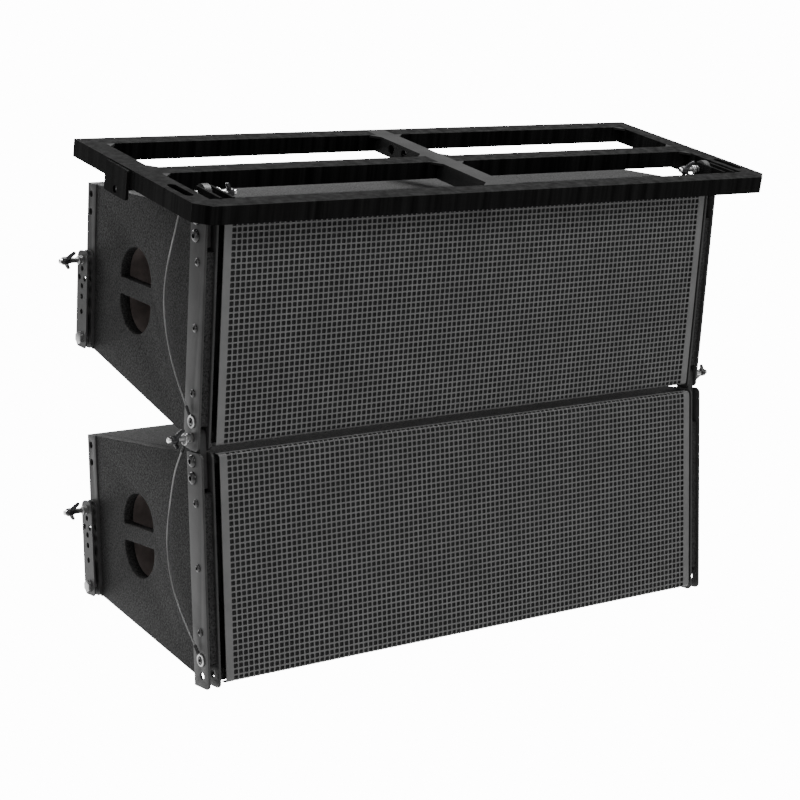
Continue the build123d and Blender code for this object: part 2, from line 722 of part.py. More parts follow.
def pin(cab, s, d, x, place, grip, cord=None):
    """A pin on side s whose collar stands at x and whose handle points to d along X."""
    end = COLLAR + NECK + HUB
    with BuildPart() as body:
        with BuildSketch(outward_plane(cab, d, x, place)):
            outline(
                (-grip, 0), (-grip, PIN_R - 1.5), (1.5 - grip, PIN_R), (0, PIN_R), (0, COLLAR_R),
                (COLLAR, COLLAR_R), (COLLAR, NECK_R), (COLLAR + NECK, NECK_R), (COLLAR + NECK, HUB_R),
                (end, HUB_R), (end, BUTTON_BORE_R), (end - BORE_DEPTH, BUTTON_BORE_R), (end - BORE_DEPTH, 0),
            )
        revolve(axis=x_axis(cab, *place))
        root = cab.from_local_coords((x + d * (COLLAR + NECK + WING_ROOT), place[0], place[1]))
        for way in (-1, 1):
            roll = math.radians(WING_ROLL)
            sweep_back = math.radians(WING_SWEEP)
            radial = cab.y_dir * (-way * math.sin(roll)) + cab.z_dir * (way * math.cos(roll))
            wing = radial * math.cos(sweep_back) - cab.x_dir * (d * math.sin(sweep_back))
            with BuildSketch(Plane(origin=root, z_dir=wing).offset(WING_START)):
                Circle(WING_R)
            extrude(amount=WING_LENGTH, taper=3)
        if cord:
            away = (cord[0][1] - place[0], cord[0][2] - place[1])
            reach = math.hypot(*away)
            centre = (place[0] + RING_SAG * away[0] / reach, place[1] + RING_SAG * away[1] / reach)
            with BuildSketch(outward_plane(cab, d, x, centre)):
                with Locations((RING_PLACE, RING_R)):
                    Circle(RING_WIRE)
            revolve(axis=x_axis(cab, *centre))
            add(crimp(cab, s, cord[0], cord[1]))
    return body


def button(cab, d, x, place):
    end = COLLAR + NECK + HUB
    inner = end - BORE_DEPTH + BUTTON_GAP
    with BuildPart() as knob:
        with BuildSketch(outward_plane(cab, d, x, place)):
            outline(
                (inner, 0), (inner, BUTTON_R), (end + BUTTON_OUT - 1, BUTTON_R),
                (end + BUTTON_OUT, BUTTON_R - 1), (end + BUTTON_OUT, 0),
            )
        revolve(axis=x_axis(cab, *place))
    return knob


# ------------------------------------------------------------------ fly frame

def tube(*points):
    """A closed length of rectangular tube, drawn in plan."""
    with BuildPart() as piece:
        with BuildSketch(frame.offset(-TUBE_HALF_HEIGHT)):
            outline(*points)
        extrude(amount=2 * TUBE_HALF_HEIGHT)
        with BuildSketch(frame.offset(TUBE_WALL - TUBE_HALF_HEIGHT)):
            outline(*points)
            offset(amount=-TUBE_WALL, kind=Kind.INTERSECTION, mode=Mode.REPLACE)
        extrude(amount=2 * (TUBE_HALF_HEIGHT - TUBE_WALL), mode=Mode.SUBTRACT)
    return piece


def front_rail():
    inner = FRAME_HALF - TUBE
    return tube(
        (CORNER - FRAME_HALF, 0), (FRAME_HALF - CORNER, 0), (FRAME_HALF, CORNER),
        (inner, TUBE), (-inner, TUBE), (-FRAME_HALF, CORNER),
    )


def side_rail(s):
    inner = FRAME_HALF - TUBE
    blank = tube(
        (s * FRAME_HALF, CORNER), (s * FRAME_HALF, FRAME_DEPTH),
        (s * inner, FRAME_DEPTH), (s * inner, TUBE),
    )
    with BuildPart() as rail:
        add(blank.part)
        with BuildSketch(frame.offset(-TUBE_HALF_HEIGHT - 1)):
            with Locations((s * SLOT_X, SLOT_Y)):
                SlotOverall(SLOT_LENGTH, SLOT_WIDTH, rotation=90)
        extrude(amount=2 * TUBE_HALF_HEIGHT + 2, mode=Mode.SUBTRACT)
    return rail


def cross_piece(s, front, back):
    """From the pick bar to one side rail."""
    far = FRAME_HALF - TUBE
    return tube((s * TUBE / 2, front), (s * far, front), (s * far, back), (s * TUBE / 2, back))


def rear_rail(s):
    return cross_piece(s, FRAME_DEPTH - TUBE, FRAME_DEPTH)


def cross_tube(s):
    return cross_piece(s, CROSS_Y - TUBE / 2, CROSS_Y + TUBE / 2)


def pick_bar():
    """The middle tube, with a row of holes for the shackle's pin."""
    half = TUBE / 2
    blank = tube((-half, TUBE), (half, TUBE), (half, FRAME_DEPTH), (-half, FRAME_DEPTH))
    with BuildPart() as bar:
        add(blank.part)
        with BuildSketch(side_plane(frame, -TUBE)):
            for step in (-1, 0, 1):
                with Locations((PICK_Y + step * PICK_PITCH, 0)):
                    Circle(PICK_R)
        extrude(amount=2 * TUBE, mode=Mode.SUBTRACT)
    return bar


def link_lugs():
    """Two plates at each front corner that hold the upper cabinet's links."""
    y, z = FRAME_PIN
    with BuildPart() as lugs:
        for s in (-1, 1):
            for x in (LUG_IN, LUG_OUT):
                with BuildSketch(side_plane(frame, s * x)):
                    with Locations(((TUBE + y) / 2, z)):
                        Rectangle(y - TUBE, 2 * LUG_R)
                    with Locations(FRAME_PIN):
                        Circle(LUG_R)
                        Circle(PIN_HOLE_R, mode=Mode.SUBTRACT)
                extrude(amount=s * LUG_PLATE)
    return lugs


def rear_brackets():
    """Angle brackets under the side rails, each with an anchor hole below the rail."""
    low = -TUBE_HALF_HEIGHT - BRACKET_DROP
    with BuildPart() as brackets:
        for s in (-1, 1):
            with BuildSketch(side_plane(frame, s * FRAME_HALF)):
                with Locations((BRACKET_Y, (low + TUBE_HALF_HEIGHT) / 2 - 1)):
                    RectangleRounded(BRACKET_LENGTH, TUBE_HALF_HEIGHT - low - 2, 4)
                with Locations((BRACKET_Y, low + 3 + BRACKET_HOLE_R)):
                    Circle(BRACKET_HOLE_R, mode=Mode.SUBTRACT)
            extrude(amount=s * BRACKET_PLATE)
            shelf = FRAME_HALF - TUBE / 2
            with BuildSketch(frame.offset(-TUBE_HALF_HEIGHT)):
                with Locations((s * (shelf + FRAME_HALF) / 2, BRACKET_Y)):
                    Rectangle(FRAME_HALF - shelf, BRACKET_LENGTH)
            extrude(amount=-BRACKET_PLATE)
    return brackets


def frame_gussets():
    """Small triangles welded in the inner corners, level with the top of the frame."""
    inner = FRAME_HALF - TUBE
    half = TUBE / 2
    corners = []
    for s in (-1, 1):
        corners += [(s * half, TUBE, s, 1), (s * half, CROSS_Y - half, s, -1), (s * inner, CROSS_Y - half, -s, -1)]
        corners += [(s * half, CROSS_Y + half, s, 1), (s * inner, CROSS_Y + half, -s, 1)]
        corners += [(s * half, FRAME_DEPTH - TUBE, s, -1), (s * inner, FRAME_DEPTH - TUBE, -s, -1)]
    with BuildPart() as gussets:
        for x, y, across, along in corners:
            with BuildSketch(frame.offset(TUBE_HALF_HEIGHT - GUSSET_PLATE)):
                outline((x, y), (x + across * GUSSET, y), (x, y + along * GUSSET))
            extrude(amount=GUSSET_PLATE)
    return gussets


# ------------------------------------------------------------------ build and save

def save(name, *builders):
    """One STEP file; pieces that only touch each other stay separate solids."""
    if len(builders) == 1:
        piece = builders[0].part
    else:
        piece = Compound([solid for b in builders for solid in b.part.solids()])
    piece.label = name
    export_step(piece, f"parts/{name}.step")


os.makedirs("parts", exist_ok=True)

save("frame_tubes", front_rail(), side_rail(-1), side_rail(1), rear_rail(-1), rear_rail(1))
save("frame_cross_tubes", cross_tube(-1), cross_tube(1))
save("frame_pick_bar", pick_bar())
save("frame_link_lugs", link_lugs())
save("frame_rear_brackets", rear_brackets())
save("frame_corner_gussets", frame_gussets())

for level, cab, route in (("upper", upper, UPPER_CORD), ("lower", lower, LOWER_CORD)):
    save(f"{level}_side_panels", *side_panels(cab))
    save(f"{level}_top_panel", top_panel(cab))
    save(f"{level}_bottom_panel", bottom_panel(cab))
    save(f"{level}_rear_panel", rear_panel(cab))
    save(f"{level}_front_baffle", front_baffle(cab))
    save(f"{level}_grille", grille(cab))
    save(f"{level}_woofer_frames", woofer_frames(cab))
    save(f"{level}_woofer_cones", woofer_cones(cab))
    save(f"{level}_hf_horn", hf_horn(cab))
    save(f"{level}_hf_driver", hf_driver(cab))
    save(f"{level}_input_panel", input_panel(cab))
    save(f"{level}_handle_pockets", *handle_pockets(cab))
    save(f"{level}_rigging_plates", rigging_plates(cab))
    save(f"{level}_links", links(cab))
    save(f"{level}_fasteners", fasteners(cab, route))
    for side, s in (("left", -1), ("right", 1)):
        save(f"{level}_{side}_rear_arm", rear_arm(cab, s))
        save(f"{level}_{side}_lanyard", lanyard(cab, s, route))
        if level == "upper":
            stand = s * LUG_IN
            handle_way = -s
            grip = LUG_OUT + LUG_PLATE + SEATED - LUG_IN
        else:
            stand = s * HALF_WIDTH
            handle_way = s
            grip = HALF_WIDTH - INNER_PLATE + SEATED
        save(f"{level}_{side}_front_pin", pin(cab, s, handle_way, stand, LINK_PIN, grip, route))
        save(f"{level}_{side}_front_button", button(cab, handle_way, stand, LINK_PIN))
        rear = s * (ARM_IN + ARM_THICK)
        save(f"{level}_{side}_rear_pin", pin(cab, s, s, rear, ARM_PIN, REAR_GRIP))
        save(f"{level}_{side}_rear_button", button(cab, s, rear, ARM_PIN))
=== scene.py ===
import json
import math
import bmesh
import bpy
from mathutils import Matrix, Vector


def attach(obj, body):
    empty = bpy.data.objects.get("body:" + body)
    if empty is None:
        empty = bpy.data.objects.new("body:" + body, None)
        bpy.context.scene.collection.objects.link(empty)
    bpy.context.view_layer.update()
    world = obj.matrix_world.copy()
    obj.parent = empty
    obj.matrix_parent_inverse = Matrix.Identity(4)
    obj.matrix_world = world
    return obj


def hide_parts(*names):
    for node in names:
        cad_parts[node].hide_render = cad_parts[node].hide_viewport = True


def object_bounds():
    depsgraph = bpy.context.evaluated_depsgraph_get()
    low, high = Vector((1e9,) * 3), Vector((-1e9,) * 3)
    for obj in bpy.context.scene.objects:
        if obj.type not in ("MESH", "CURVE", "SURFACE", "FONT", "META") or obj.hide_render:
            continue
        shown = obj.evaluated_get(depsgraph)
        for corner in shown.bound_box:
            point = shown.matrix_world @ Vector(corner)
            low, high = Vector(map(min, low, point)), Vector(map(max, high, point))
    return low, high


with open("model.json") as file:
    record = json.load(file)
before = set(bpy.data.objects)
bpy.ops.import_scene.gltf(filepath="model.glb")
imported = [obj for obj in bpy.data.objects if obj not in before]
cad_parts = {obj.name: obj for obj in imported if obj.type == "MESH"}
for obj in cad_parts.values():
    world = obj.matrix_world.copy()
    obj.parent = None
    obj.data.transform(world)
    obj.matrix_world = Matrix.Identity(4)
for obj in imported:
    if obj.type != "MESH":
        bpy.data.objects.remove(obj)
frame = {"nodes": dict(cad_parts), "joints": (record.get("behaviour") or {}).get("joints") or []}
cad_low, cad_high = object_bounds()

MM = 0.001
SIDES = (("left", -1), ("right", 1))

# ---- sizes that the CAD model has too, in millimetres, in a cabinet's own frame ----
LINK_PIN = (34.0, 412.0)
ARM_PIN = (400.0, 236.0)
ARM_PIVOT = (400.0, 97.0)
LINK_BOLTS = ((34.0, 373.0), (34.0, 345.0))
PLATE_SCREWS = ((26.0, 304.0), (26.0, 196.0), (26.0, 88.0))
EYELET = (26.0, 41.0)
HALF_WIDTH = 550.0
SIDE_OUT = 548.0
SIDE_IN = 530.0
FRONT_HEIGHT = 386.0
DEPTH = 412.0
REAR_TOP = 369.0
REAR_BOTTOM = 85.0
PLATE_BACK = 52.0
STRIP_FRONT = 382.0
HANDLE = (234.0, 214.0)
HANDLE_R = 53.0
HANDLE_HEIGHT = 148.0
HANDLE_BAR = 29.0
GRILLE_HALF = 518.0
GRILLE_SHEET = 1.5
GRILLE_BEND = 8.0
GRILLE_RETURN = 16.0
OUTER_PLATE = (546, 550)
INNER_PLATE = (526, 530)
PLATE_BOTTOM = -7
PLATE_TOP = 387.5
PLATE_CORNER = 10.0
SLOT_PIN = (26.0, 14.0)
STRIP_HOLES = ((400.0, 351.0), (400.0, 320.0))
PIN_HOLE_R = 6.075
CHEEK = ((8, 36), (51.8, 36), (51.8, 322), (8, 322))
INPUT_Z = 235.0
INPUT_FACE = 415.0
UPPER_PITCH = -5.7
LOWER_PITCH = -13.5
LOWER_CORD = (
    (562.0, 46.8, 388.3), (561.0, 69.0, 361.5), (558.5, 88.0, 327.0), (557.0, 103.0, 288.0),
    (556.5, 115.0, 250.0), (556.0, 119.0, 211.0), (556.0, 113.0, 173.0), (556.5, 97.0, 139.0),
    (557.0, 75.0, 110.0), (557.0, 52.0, 85.0), (556.0, 36.5, 65.5),
)
UPPER_CORD = (
    (521.5, 55.5, 399.7), (531.0, 64.0, 396.5), (542.0, 69.0, 394.0), (550.5, 72.0, 389.0),
    (556.0, 74.5, 380.5), (558.0, 79.0, 368.0), (558.0, 86.5, 345.0), (557.0, 101.0, 312.0),
    (556.0, 114.0, 278.0), (556.0, 121.0, 241.0), (556.0, 119.0, 203.0), (556.0, 108.0, 166.0),
    (556.5, 90.0, 132.0), (557.0, 68.0, 103.0), (557.0, 49.0, 82.0), (556.0, 36.5, 65.5),
)


def cabinet_matrix(joint, degrees):
    """A cabinet's own frame, in metres, from the hinge that it hangs on."""
    pivot = Vector(next(j for j in frame["joints"] if j["name"] == joint)["pos_m"])
    own = Vector((0, LINK_PIN[0] * MM, LINK_PIN[1] * MM))
    turned = Matrix.Translation(pivot) @ Matrix.Rotation(math.radians(degrees), 4, "X")
    return turned @ Matrix.Translation(-own)


CABINETS = {
    "upper": cabinet_matrix("upper_cabinet_tilt", UPPER_PITCH),
    "lower": cabinet_matrix("lower_cabinet_tilt", LOWER_PITCH),
}


# ------------------------------------------------------------------ materials

def shader(name, colour, roughness, metallic=0.0, coat=0.0, specular=0.3):
    """A new material: itself, its node tree, its main shader and the object's coordinates."""
    mat = bpy.data.materials.new(name)
    mat.use_nodes = True
    tree = mat.node_tree
    bsdf = tree.nodes["Principled BSDF"]
    bsdf.inputs["Base Color"].default_value = (*colour, 1)
    bsdf.inputs["Roughness"].default_value = roughness
    bsdf.inputs["Metallic"].default_value = metallic
    bsdf.inputs["Coat Weight"].default_value = coat
    bsdf.inputs["Coat Roughness"].default_value = 0.12
    bsdf.inputs["Specular IOR Level"].default_value = specular
    place = tree.nodes.new("ShaderNodeTexCoord")
    return mat, tree, bsdf, place.outputs["Object"]


def noise(tree, where, scale, detail=3.0, rough=0.55):
    node = tree.nodes.new("ShaderNodeTexNoise")
    node.inputs["Scale"].default_value = scale
    node.inputs["Detail"].default_value = detail
    node.inputs["Roughness"].default_value = rough
    tree.links.new(where, node.inputs["Vector"])
    return node.outputs["Fac"]


def stretched(tree, where, scale):
    """The same coordinates, scaled differently along each axis."""
    node = tree.nodes.new("ShaderNodeMapping")
    node.inputs["Scale"].default_value = scale
    tree.links.new(where, node.inputs["Vector"])
    return node.outputs["Vector"]


def ramp(tree, value, stops):
    node = tree.nodes.new("ShaderNodeValToRGB")
    ends = node.color_ramp.elements
    while len(ends) < len(stops):
        ends.new(0.5)
    for end, (place, grey) in zip(ends, stops):
        end.position = place
        end.color = (*grey, 1) if isinstance(grey, tuple) else (grey, grey, grey, 1)
    tree.links.new(value, node.inputs["Fac"])
    return node.outputs["Color"]


def bump(tree, bsdf, height, strength, distance, under=None):
    node = tree.nodes.new("ShaderNodeBump")
    node.inputs["Strength"].default_value = strength
    node.inputs["Distance"].default_value = distance
    tree.links.new(height, node.inputs["Height"])
    if under:
        tree.links.new(under, node.inputs["Normal"])
    tree.links.new(node.outputs["Normal"], bsdf.inputs["Normal"])
    return node.outputs["Normal"]


def textured_paint(name, low, high):
    """Thick speckled cabinet paint: a pebbled skin with lighter tips."""
    mat, tree, bsdf, where = shader(name, (0.03, 0.03, 0.03), 0.62, specular=0.12)
    grain = noise(tree, where, 330, 2.0, 0.6)
    blotch = noise(tree, where, 9, 2.0)
    fine = noise(tree, where, 900, 1.0)
    tone = ramp(tree, grain, ((0.32, low), (0.5, (low + high) / 2), (0.68, high)))
    patch = ramp(tree, blotch, ((0.3, 0.82), (0.7, 1.12)))
    mix = tree.nodes.new("ShaderNodeMix")
    mix.data_type = "RGBA"
    mix.blend_type = "MULTIPLY"
    mix.inputs["Factor"].default_value = 1.0
    tree.links.new(tone, mix.inputs["A"])
    tree.links.new(patch, mix.inputs["B"])
    tree.links.new(mix.outputs["Result"], bsdf.inputs["Base Color"])
    tree.links.new(ramp(tree, grain, ((0.3, 0.72), (0.7, 0.52))), bsdf.inputs["Roughness"])
    first = bump(tree, bsdf, fine, 0.35, 0.0004)
    bump(tree, bsdf, grain, 0.75, 0.0011, first)
    return mat


SCRATCH_GRAIN = (40, 40, 400)


def satin_metal(name, low, high, roughness, metallic=0.0, coat=0.0, specular=0.3):
    """Powder coat or worn metal: faint cloudy tone, drawn scratches and orange peel."""
    mat, tree, bsdf, where = shader(name, (high, high, high), roughness, metallic, coat, specular)
    cloud = noise(tree, where, 22, 4.0)
    scratch = noise(tree, stretched(tree, where, SCRATCH_GRAIN), 6, 5.0, 0.7)
    peel = noise(tree, where, 700, 1.0)
    tree.links.new(ramp(tree, cloud, ((0.3, low), (0.7, high))), bsdf.inputs["Base Color"])
    rough = ramp(tree, scratch, ((0.3, max(0.05, roughness - 0.07)), (0.7, roughness + 0.08)))
    tree.links.new(rough, bsdf.inputs["Roughness"])
    bump(tree, bsdf, peel, 0.12, 0.0003)
    return mat


def streaked(name, low, high):
    """Black lacquer on rolled tube: upright streaks and a little orange peel."""
    mat, tree, bsdf, where = shader(name, (high, high, high), 0.38, specular=0.02)
    streak = noise(tree, stretched(tree, where, (60, 60, 1.5)), 1.0, 4.0, 0.7)
    peel = noise(tree, where, 600, 1.0)
    tree.links.new(ramp(tree, streak, ((0.38, low), (0.62, high))), bsdf.inputs["Base Color"])
    tree.links.new(ramp(tree, streak, ((0.3, 0.48), (0.7, 0.32))), bsdf.inputs["Roughness"])
    bump(tree, bsdf, peel, 0.1, 0.0003)
    return mat


def foam_material():
    """Open-cell foam: nearly black, matt and pitted."""
    mat, tree, bsdf, where = shader("grille_foam", (0.02, 0.02, 0.02), 0.95)
    cells = noise(tree, where, 700, 3.0, 0.75)
    tree.links.new(ramp(tree, cells, ((0.3, 0.008), (0.7, 0.035))), bsdf.inputs["Base Color"])
    bump(tree, bsdf, cells, 1.0, 0.0012)
    return mat


def moulded(name, colour, roughness):
    """Moulded plastic or pressed paper: a cloudy tone and a fine grain."""
    mat, tree, bsdf, where = shader(name, colour, roughness)
    cloud = noise(tree, where, 30, 3.0)
    grain = noise(tree, where, 1100, 2.0)
    dark = tuple(c * 0.75 for c in colour)
    light = tuple(c * 1.25 for c in colour)
    tree.links.new(ramp(tree, cloud, ((0.3, dark), (0.7, light))), bsdf.inputs["Base Color"])
    rough = ramp(tree, cloud, ((0.3, roughness - 0.06), (0.7, roughness + 0.06)))
    tree.links.new(rough, bsdf.inputs["Roughness"])
    bump(tree, bsdf, grain, 0.2, 0.0003)
    return mat


PAINT = textured_paint("cabinet_paint", 0.002, 0.025)
SATIN = satin_metal("rigging_satin", 0.022, 0.034, 0.42, specular=0.2)
FRAME_GLOSS = streaked("frame_gloss", 0.0008, 0.0065)
# a lighter copy of the frame's black lacquer, for the pick bar and the corner gussets: its lighter grey is
# a painted reflection of the sky on the pick bar and painted highlights on the gussets
FRAME_PAINTED_SHEEN = satin_metal("frame_painted_sheen", 0.008, 0.016, 0.42, specular=0.1)
GRILLE = satin_metal("grille_steel", 0.085, 0.105, 0.42, specular=0.2)
FOAM = foam_material()
BOLT = satin_metal("bolt_black", 0.010, 0.018, 0.24, metallic=0.2, coat=0.4)
BRIGHT = satin_metal("bright_zinc", 0.34, 0.46, 0.30, metallic=1.0)
CHROME = satin_metal("button_chrome", 0.80, 0.88, 0.10, metallic=1.0)
STEEL = satin_metal("pin_steel", 0.30, 0.40, 0.30, metallic=1.0)
WIRE = satin_metal("wire_rope", 0.14, 0.24, 0.42, metallic=1.0)
PIN_BLACK = moulded("pin_black", (0.010, 0.010, 0.011), 0.30)
CRIMP_BLACK = moulded("crimp_black", (0.012, 0.012, 0.012), 0.42)
POCKET = moulded("pocket_brown", (0.150, 0.128, 0.122), 0.34)
HORN = moulded("horn_black", (0.015, 0.015, 0.016), 0.45)
CONE = moulded("cone_paper", (0.020, 0.020, 0.020), 0.85)
CASTING = satin_metal("driver_casting", 0.020, 0.034, 0.50)
PANEL = satin_metal("input_plate", 0.016, 0.024, 0.36)
SOCKET = moulded("socket_inner", (0.030, 0.030, 0.034), 0.38)


# ------------------------------------------------------------------ mesh helpers

def put(name, verts, faces, material, body, angle=38):
    """A new mesh object, dressed."""
    mesh = bpy.data.meshes.new(name)
    mesh.from_pydata([tuple(v) for v in verts], [], faces)
    mesh.validate()
    obj = bpy.data.objects.new(name, mesh)
    bpy.context.scene.collection.objects.link(obj)
    return dress(obj, material, body, angle)


def dress(obj, material, body, angle=38):
    """Outward normals, a material, soft shading up to the angle, and a body to ride."""
    work = bmesh.new()
    work.from_mesh(obj.data)
    bmesh.ops.remove_doubles(work, verts=work.verts, dist=1e-6)
    bmesh.ops.recalc_face_normals(work, faces=work.faces)
    for edge in work.edges:
        edge.smooth = len(edge.link_faces) == 2 and edge.calc_face_angle(0) < math.radians(angle)
    for face in work.faces:
        face.smooth = True
    work.to_mesh(obj.data)
    work.free()
    obj.data.materials.clear()
    obj.data.materials.append(material)
    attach(obj, body)
    return obj


def place(matrix, x, y, z):
    """A point of a cabinet, given in millimetres in its own frame."""
    return matrix @ (Vector((x, y, z)) * MM)


def turning(points, matrix, at, way, segments=40):
    """Vertices and faces of a turned piece: points are (outward distance, radius)."""
    x0, y0, z0 = at
    verts, faces, rings = [], [], []
    for u, r in points:
        if r <= 0:
            rings.append([len(verts)] * segments)
            verts.append(place(matrix, x0 + way * u, y0, z0))
            continue
        rings.append(range(len(verts), len(verts) + segments))
        for n in range(segments):
            a = 2 * math.pi * n / segments
            verts.append(place(matrix, x0 + way * u, y0 + r * math.cos(a), z0 + r * math.sin(a)))
    for low, high in zip(rings, rings[1:]):
        for n in range(segments):
            m = (n + 1) % segments
            ring = [low[n], low[m], high[m], high[n]]
            face = [v for i, v in enumerate(ring) if v not in ring[:i]]
            if len(face) > 2:
                faces.append(face)
    return verts, faces


def merged(parts):
    """Several (vertices, faces) as one."""
    verts, faces = [], []
    for more_verts, more_faces in parts:
        shift = len(verts)
        verts += list(more_verts)
        faces += [[shift + v for v in face] for face in more_faces]
    return verts, faces


def arc(centre, radius, start, end, steps):
    """Points on an arc, with its angles in degrees."""
    cu, cr = centre
    span = [math.radians(start + (end - start) * n / steps) for n in range(steps + 1)]
    return [(cu + radius * math.cos(a), cr + radius * math.sin(a)) for a in span]


def swept(centres, radii, segments=14):
    """A round or oval bar through centres, closed at both ends."""
    verts, faces = [], []
    side = None
    for n, centre in enumerate(centres):
        ahead = (centres[min(n + 1, len(centres) - 1)] - centres[max(n - 1, 0)]).normalized()
        if side is None:
            side = ahead.orthogonal().normalized()
        side = (side - ahead * side.dot(ahead)).normalized()
        up = ahead.cross(side)
        wide, tall = radii[n] if isinstance(radii[n], tuple) else (radii[n], radii[n])
        for k in range(segments):
            a = 2 * math.pi * k / segments
            verts.append(centre + side * (wide * math.cos(a)) + up * (tall * math.sin(a)))
    for n in range(len(centres) - 1):
        for k in range(segments):
            m = (k + 1) % segments
            low, high = n * segments, (n + 1) * segments
            faces.append([low + k, low + m, high + m, high + k])
    faces.append(list(range(segments))[::-1])
    faces.append([len(verts) - segments + k for k in range(segments)])
    return verts, faces


def plate_piece(name, loops, x_low, x_high, matrix, material, body, rim=0.7):
    """A flat plate lying across X, cut to closed loops of (Y, Z), with edges rounded by rim."""
    curve = bpy.data.curves.new(name, "CURVE")
    curve.dimensions = "2D"
    curve.fill_mode = "BOTH"
    half = abs(x_high - x_low) / 2
    curve.extrude = (half - rim) * MM
    curve.bevel_depth = rim * MM
    curve.bevel_resolution = 2
    curve.offset = -rim * MM
    for loop in loops:
        spline = curve.splines.new("POLY")
        spline.points.add(len(loop) - 1)
        for point, (y, z) in zip(spline.points, loop):
            point.co = (y * MM, z * MM, 0, 1)
        spline.use_cyclic_u = True
    source = bpy.data.objects.new(name + "_outline", curve)
    bpy.context.scene.collection.objects.link(source)
    bpy.context.view_layer.update()
    mesh = bpy.data.meshes.new_from_object(source)
    bpy.data.objects.remove(source)
    middle = (x_low + x_high) / 2 * MM
    to_side = Matrix(((0, 0, 1, middle), (1, 0, 0, 0), (0, 1, 0, 0), (0, 0, 0, 1)))
    mesh.transform(matrix @ to_side)
    mesh.name = name
    obj = bpy.data.objects.new(name, mesh)
    bpy.context.scene.collection.objects.link(obj)
    return dress(obj, material, body, angle=32)


def circle(centre, radius, steps=32):
    y, z = centre
    return [(y + radius * math.cos(a), z + radius * math.sin(a))
            for a in (2 * math.pi * n / steps for n in range(steps))]


def top_at(y):
    """Height of the cabinet's top, which falls towards the rear."""
    return FRONT_HEIGHT - y * (FRONT_HEIGHT - REAR_TOP) / DEPTH


def bottom_at(y):
    """Height of the cabinet's underside, which rises towards the rear."""
    return y * REAR_BOTTOM / DEPTH


def paint_node(node, material, bevel=0.0):
    """The CAD piece stays, with a finish and, where asked, a soft edge."""
    obj = frame["nodes"][node]
    obj.data.materials.clear()
    obj.data.materials.append(material)
    if bevel:
        soft = obj.modifiers.new("soft_edges", "BEVEL")
        soft.width = bevel * MM
        soft.segments = 2
        soft.limit_method = "ANGLE"
        soft.angle_limit = math.radians(50)
        soft.harden_normals = False


# ------------------------------------------------------------------ camera

camera = bpy.data.objects.new("camera", bpy.data.cameras.new("camera"))
bpy.context.scene.collection.objects.link(camera)
camera.data.sensor_width = 36.0
camera.data.lens = 90.28
camera.location = (-2.1185, -2.8523, 0.7967)
camera.rotation_euler = tuple(math.radians(v) for v in (70.263, -6.733, -34.716))
camera.data.clip_end = 60
bpy.context.scene.camera = camera


# ------------------------------------------------------------------ lanyards

# (distance along the ferrule, radius), in millimetres
CRIMP_SHAPE = (
    (0.0, 1.7), (0.3, 2.7), (1.2, 3.1), (4.5, 3.2), (5.6, 2.7), (6.8, 2.7), (7.9, 3.2),
    (9.0, 3.2), (10.1, 2.7), (11.3, 2.7), (12.4, 3.2), (14.8, 3.1), (15.7, 2.6), (16.0, 1.6),
)
CRIMP_FLAT = 0.86


def crimp_piece(name, matrix, s, end, before, body):
    """A pressed ferrule with two dents, which carries on from the end of the rope."""
    start = place(matrix, s * end[0], end[1], end[2])
    back = place(matrix, s * before[0], before[1], before[2])
    along = (start - back).normalized()
    centres = [start + along * (u * MM) for u, _ in CRIMP_SHAPE]
    verts, faces = swept(centres, [(r * MM, r * CRIMP_FLAT * MM) for _, r in CRIMP_SHAPE], 20)
    put(name, verts, faces, CRIMP_BLACK, body, angle=50)


# the rope, in metres: one strand's turn, the distance of a strand from the middle, and radii
STRANDS = 6
ROPE_LAY = 0.018
STRAND_OUT = 0.00098
STRAND_R = 0.00052
CORE_R = 0.0007
ROPE_STEP = 0.0015


def lanyard(level, side, s, route):
    """A wire rope: a core and six strands laid round the route's smooth line."""
    name = f"{level}_{side}_lanyard"
    matrix = CABINETS[level]
    points = [place(matrix, s * x, y, z) for x, y, z in route]
    curve = bpy.data.curves.new(name + "_line", "CURVE")
    curve.dimensions = "3D"
    spline = curve.splines.new("NURBS")
    spline.points.add(len(points) - 1)
    for point, co in zip(spline.points, points):
        point.co = (*co, 1)
    spline.order_u = 3
    spline.use_endpoint_u = True
    spline.resolution_u = 16
    source = bpy.data.objects.new(name + "_line", curve)
    bpy.context.scene.collection.objects.link(source)
    bpy.context.view_layer.update()
    line = bpy.data.meshes.new_from_object(source)
    path = [v.co.copy() for v in line.vertices]
    bpy.data.objects.remove(source)
    spaced, reach = [path[0]], 0.0
    for a, b in zip(path, path[1:]):
        reach += (b - a).length
        if reach >= ROPE_STEP:
            spaced.append(b)
            reach = 0.0
    spaced.append(path[-1])
    frames, side_way, run = [], None, 0.0
    for n, centre in enumerate(spaced):
        ahead = (spaced[min(n + 1, len(spaced) - 1)] - spaced[max(n - 1, 0)]).normalized()
        side_way = side_way or ahead.orthogonal().normalized()
        side_way = (side_way - ahead * side_way.dot(ahead)).normalized()
        run += (centre - spaced[max(n - 1, 0)]).length
        frames.append((centre, side_way, ahead.cross(side_way), run))
    parts = []
    for k in range(STRANDS):
        turn = 2 * math.pi * k / STRANDS
        centres = []
        for centre, across, up, run in frames:
            angle = turn + 2 * math.pi * run / ROPE_LAY
            centres.append(centre + (across * math.cos(angle) + up * math.sin(angle)) * STRAND_OUT)
        parts.append(swept(centres, [STRAND_R] * len(centres), 6))
    parts.append(swept([f[0] for f in frames], [CORE_R] * len(frames), 6))
    obj = put(name + "_rope", *merged(parts), WIRE, f"{level}_cabinet", angle=80)
    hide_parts(name)


ROUTES = {"upper": UPPER_CORD, "lower": LOWER_CORD}
for level, route in ROUTES.items():
    for side, s in SIDES:
        lanyard(level, side, s, route)


# ------------------------------------------------------------------ grilles

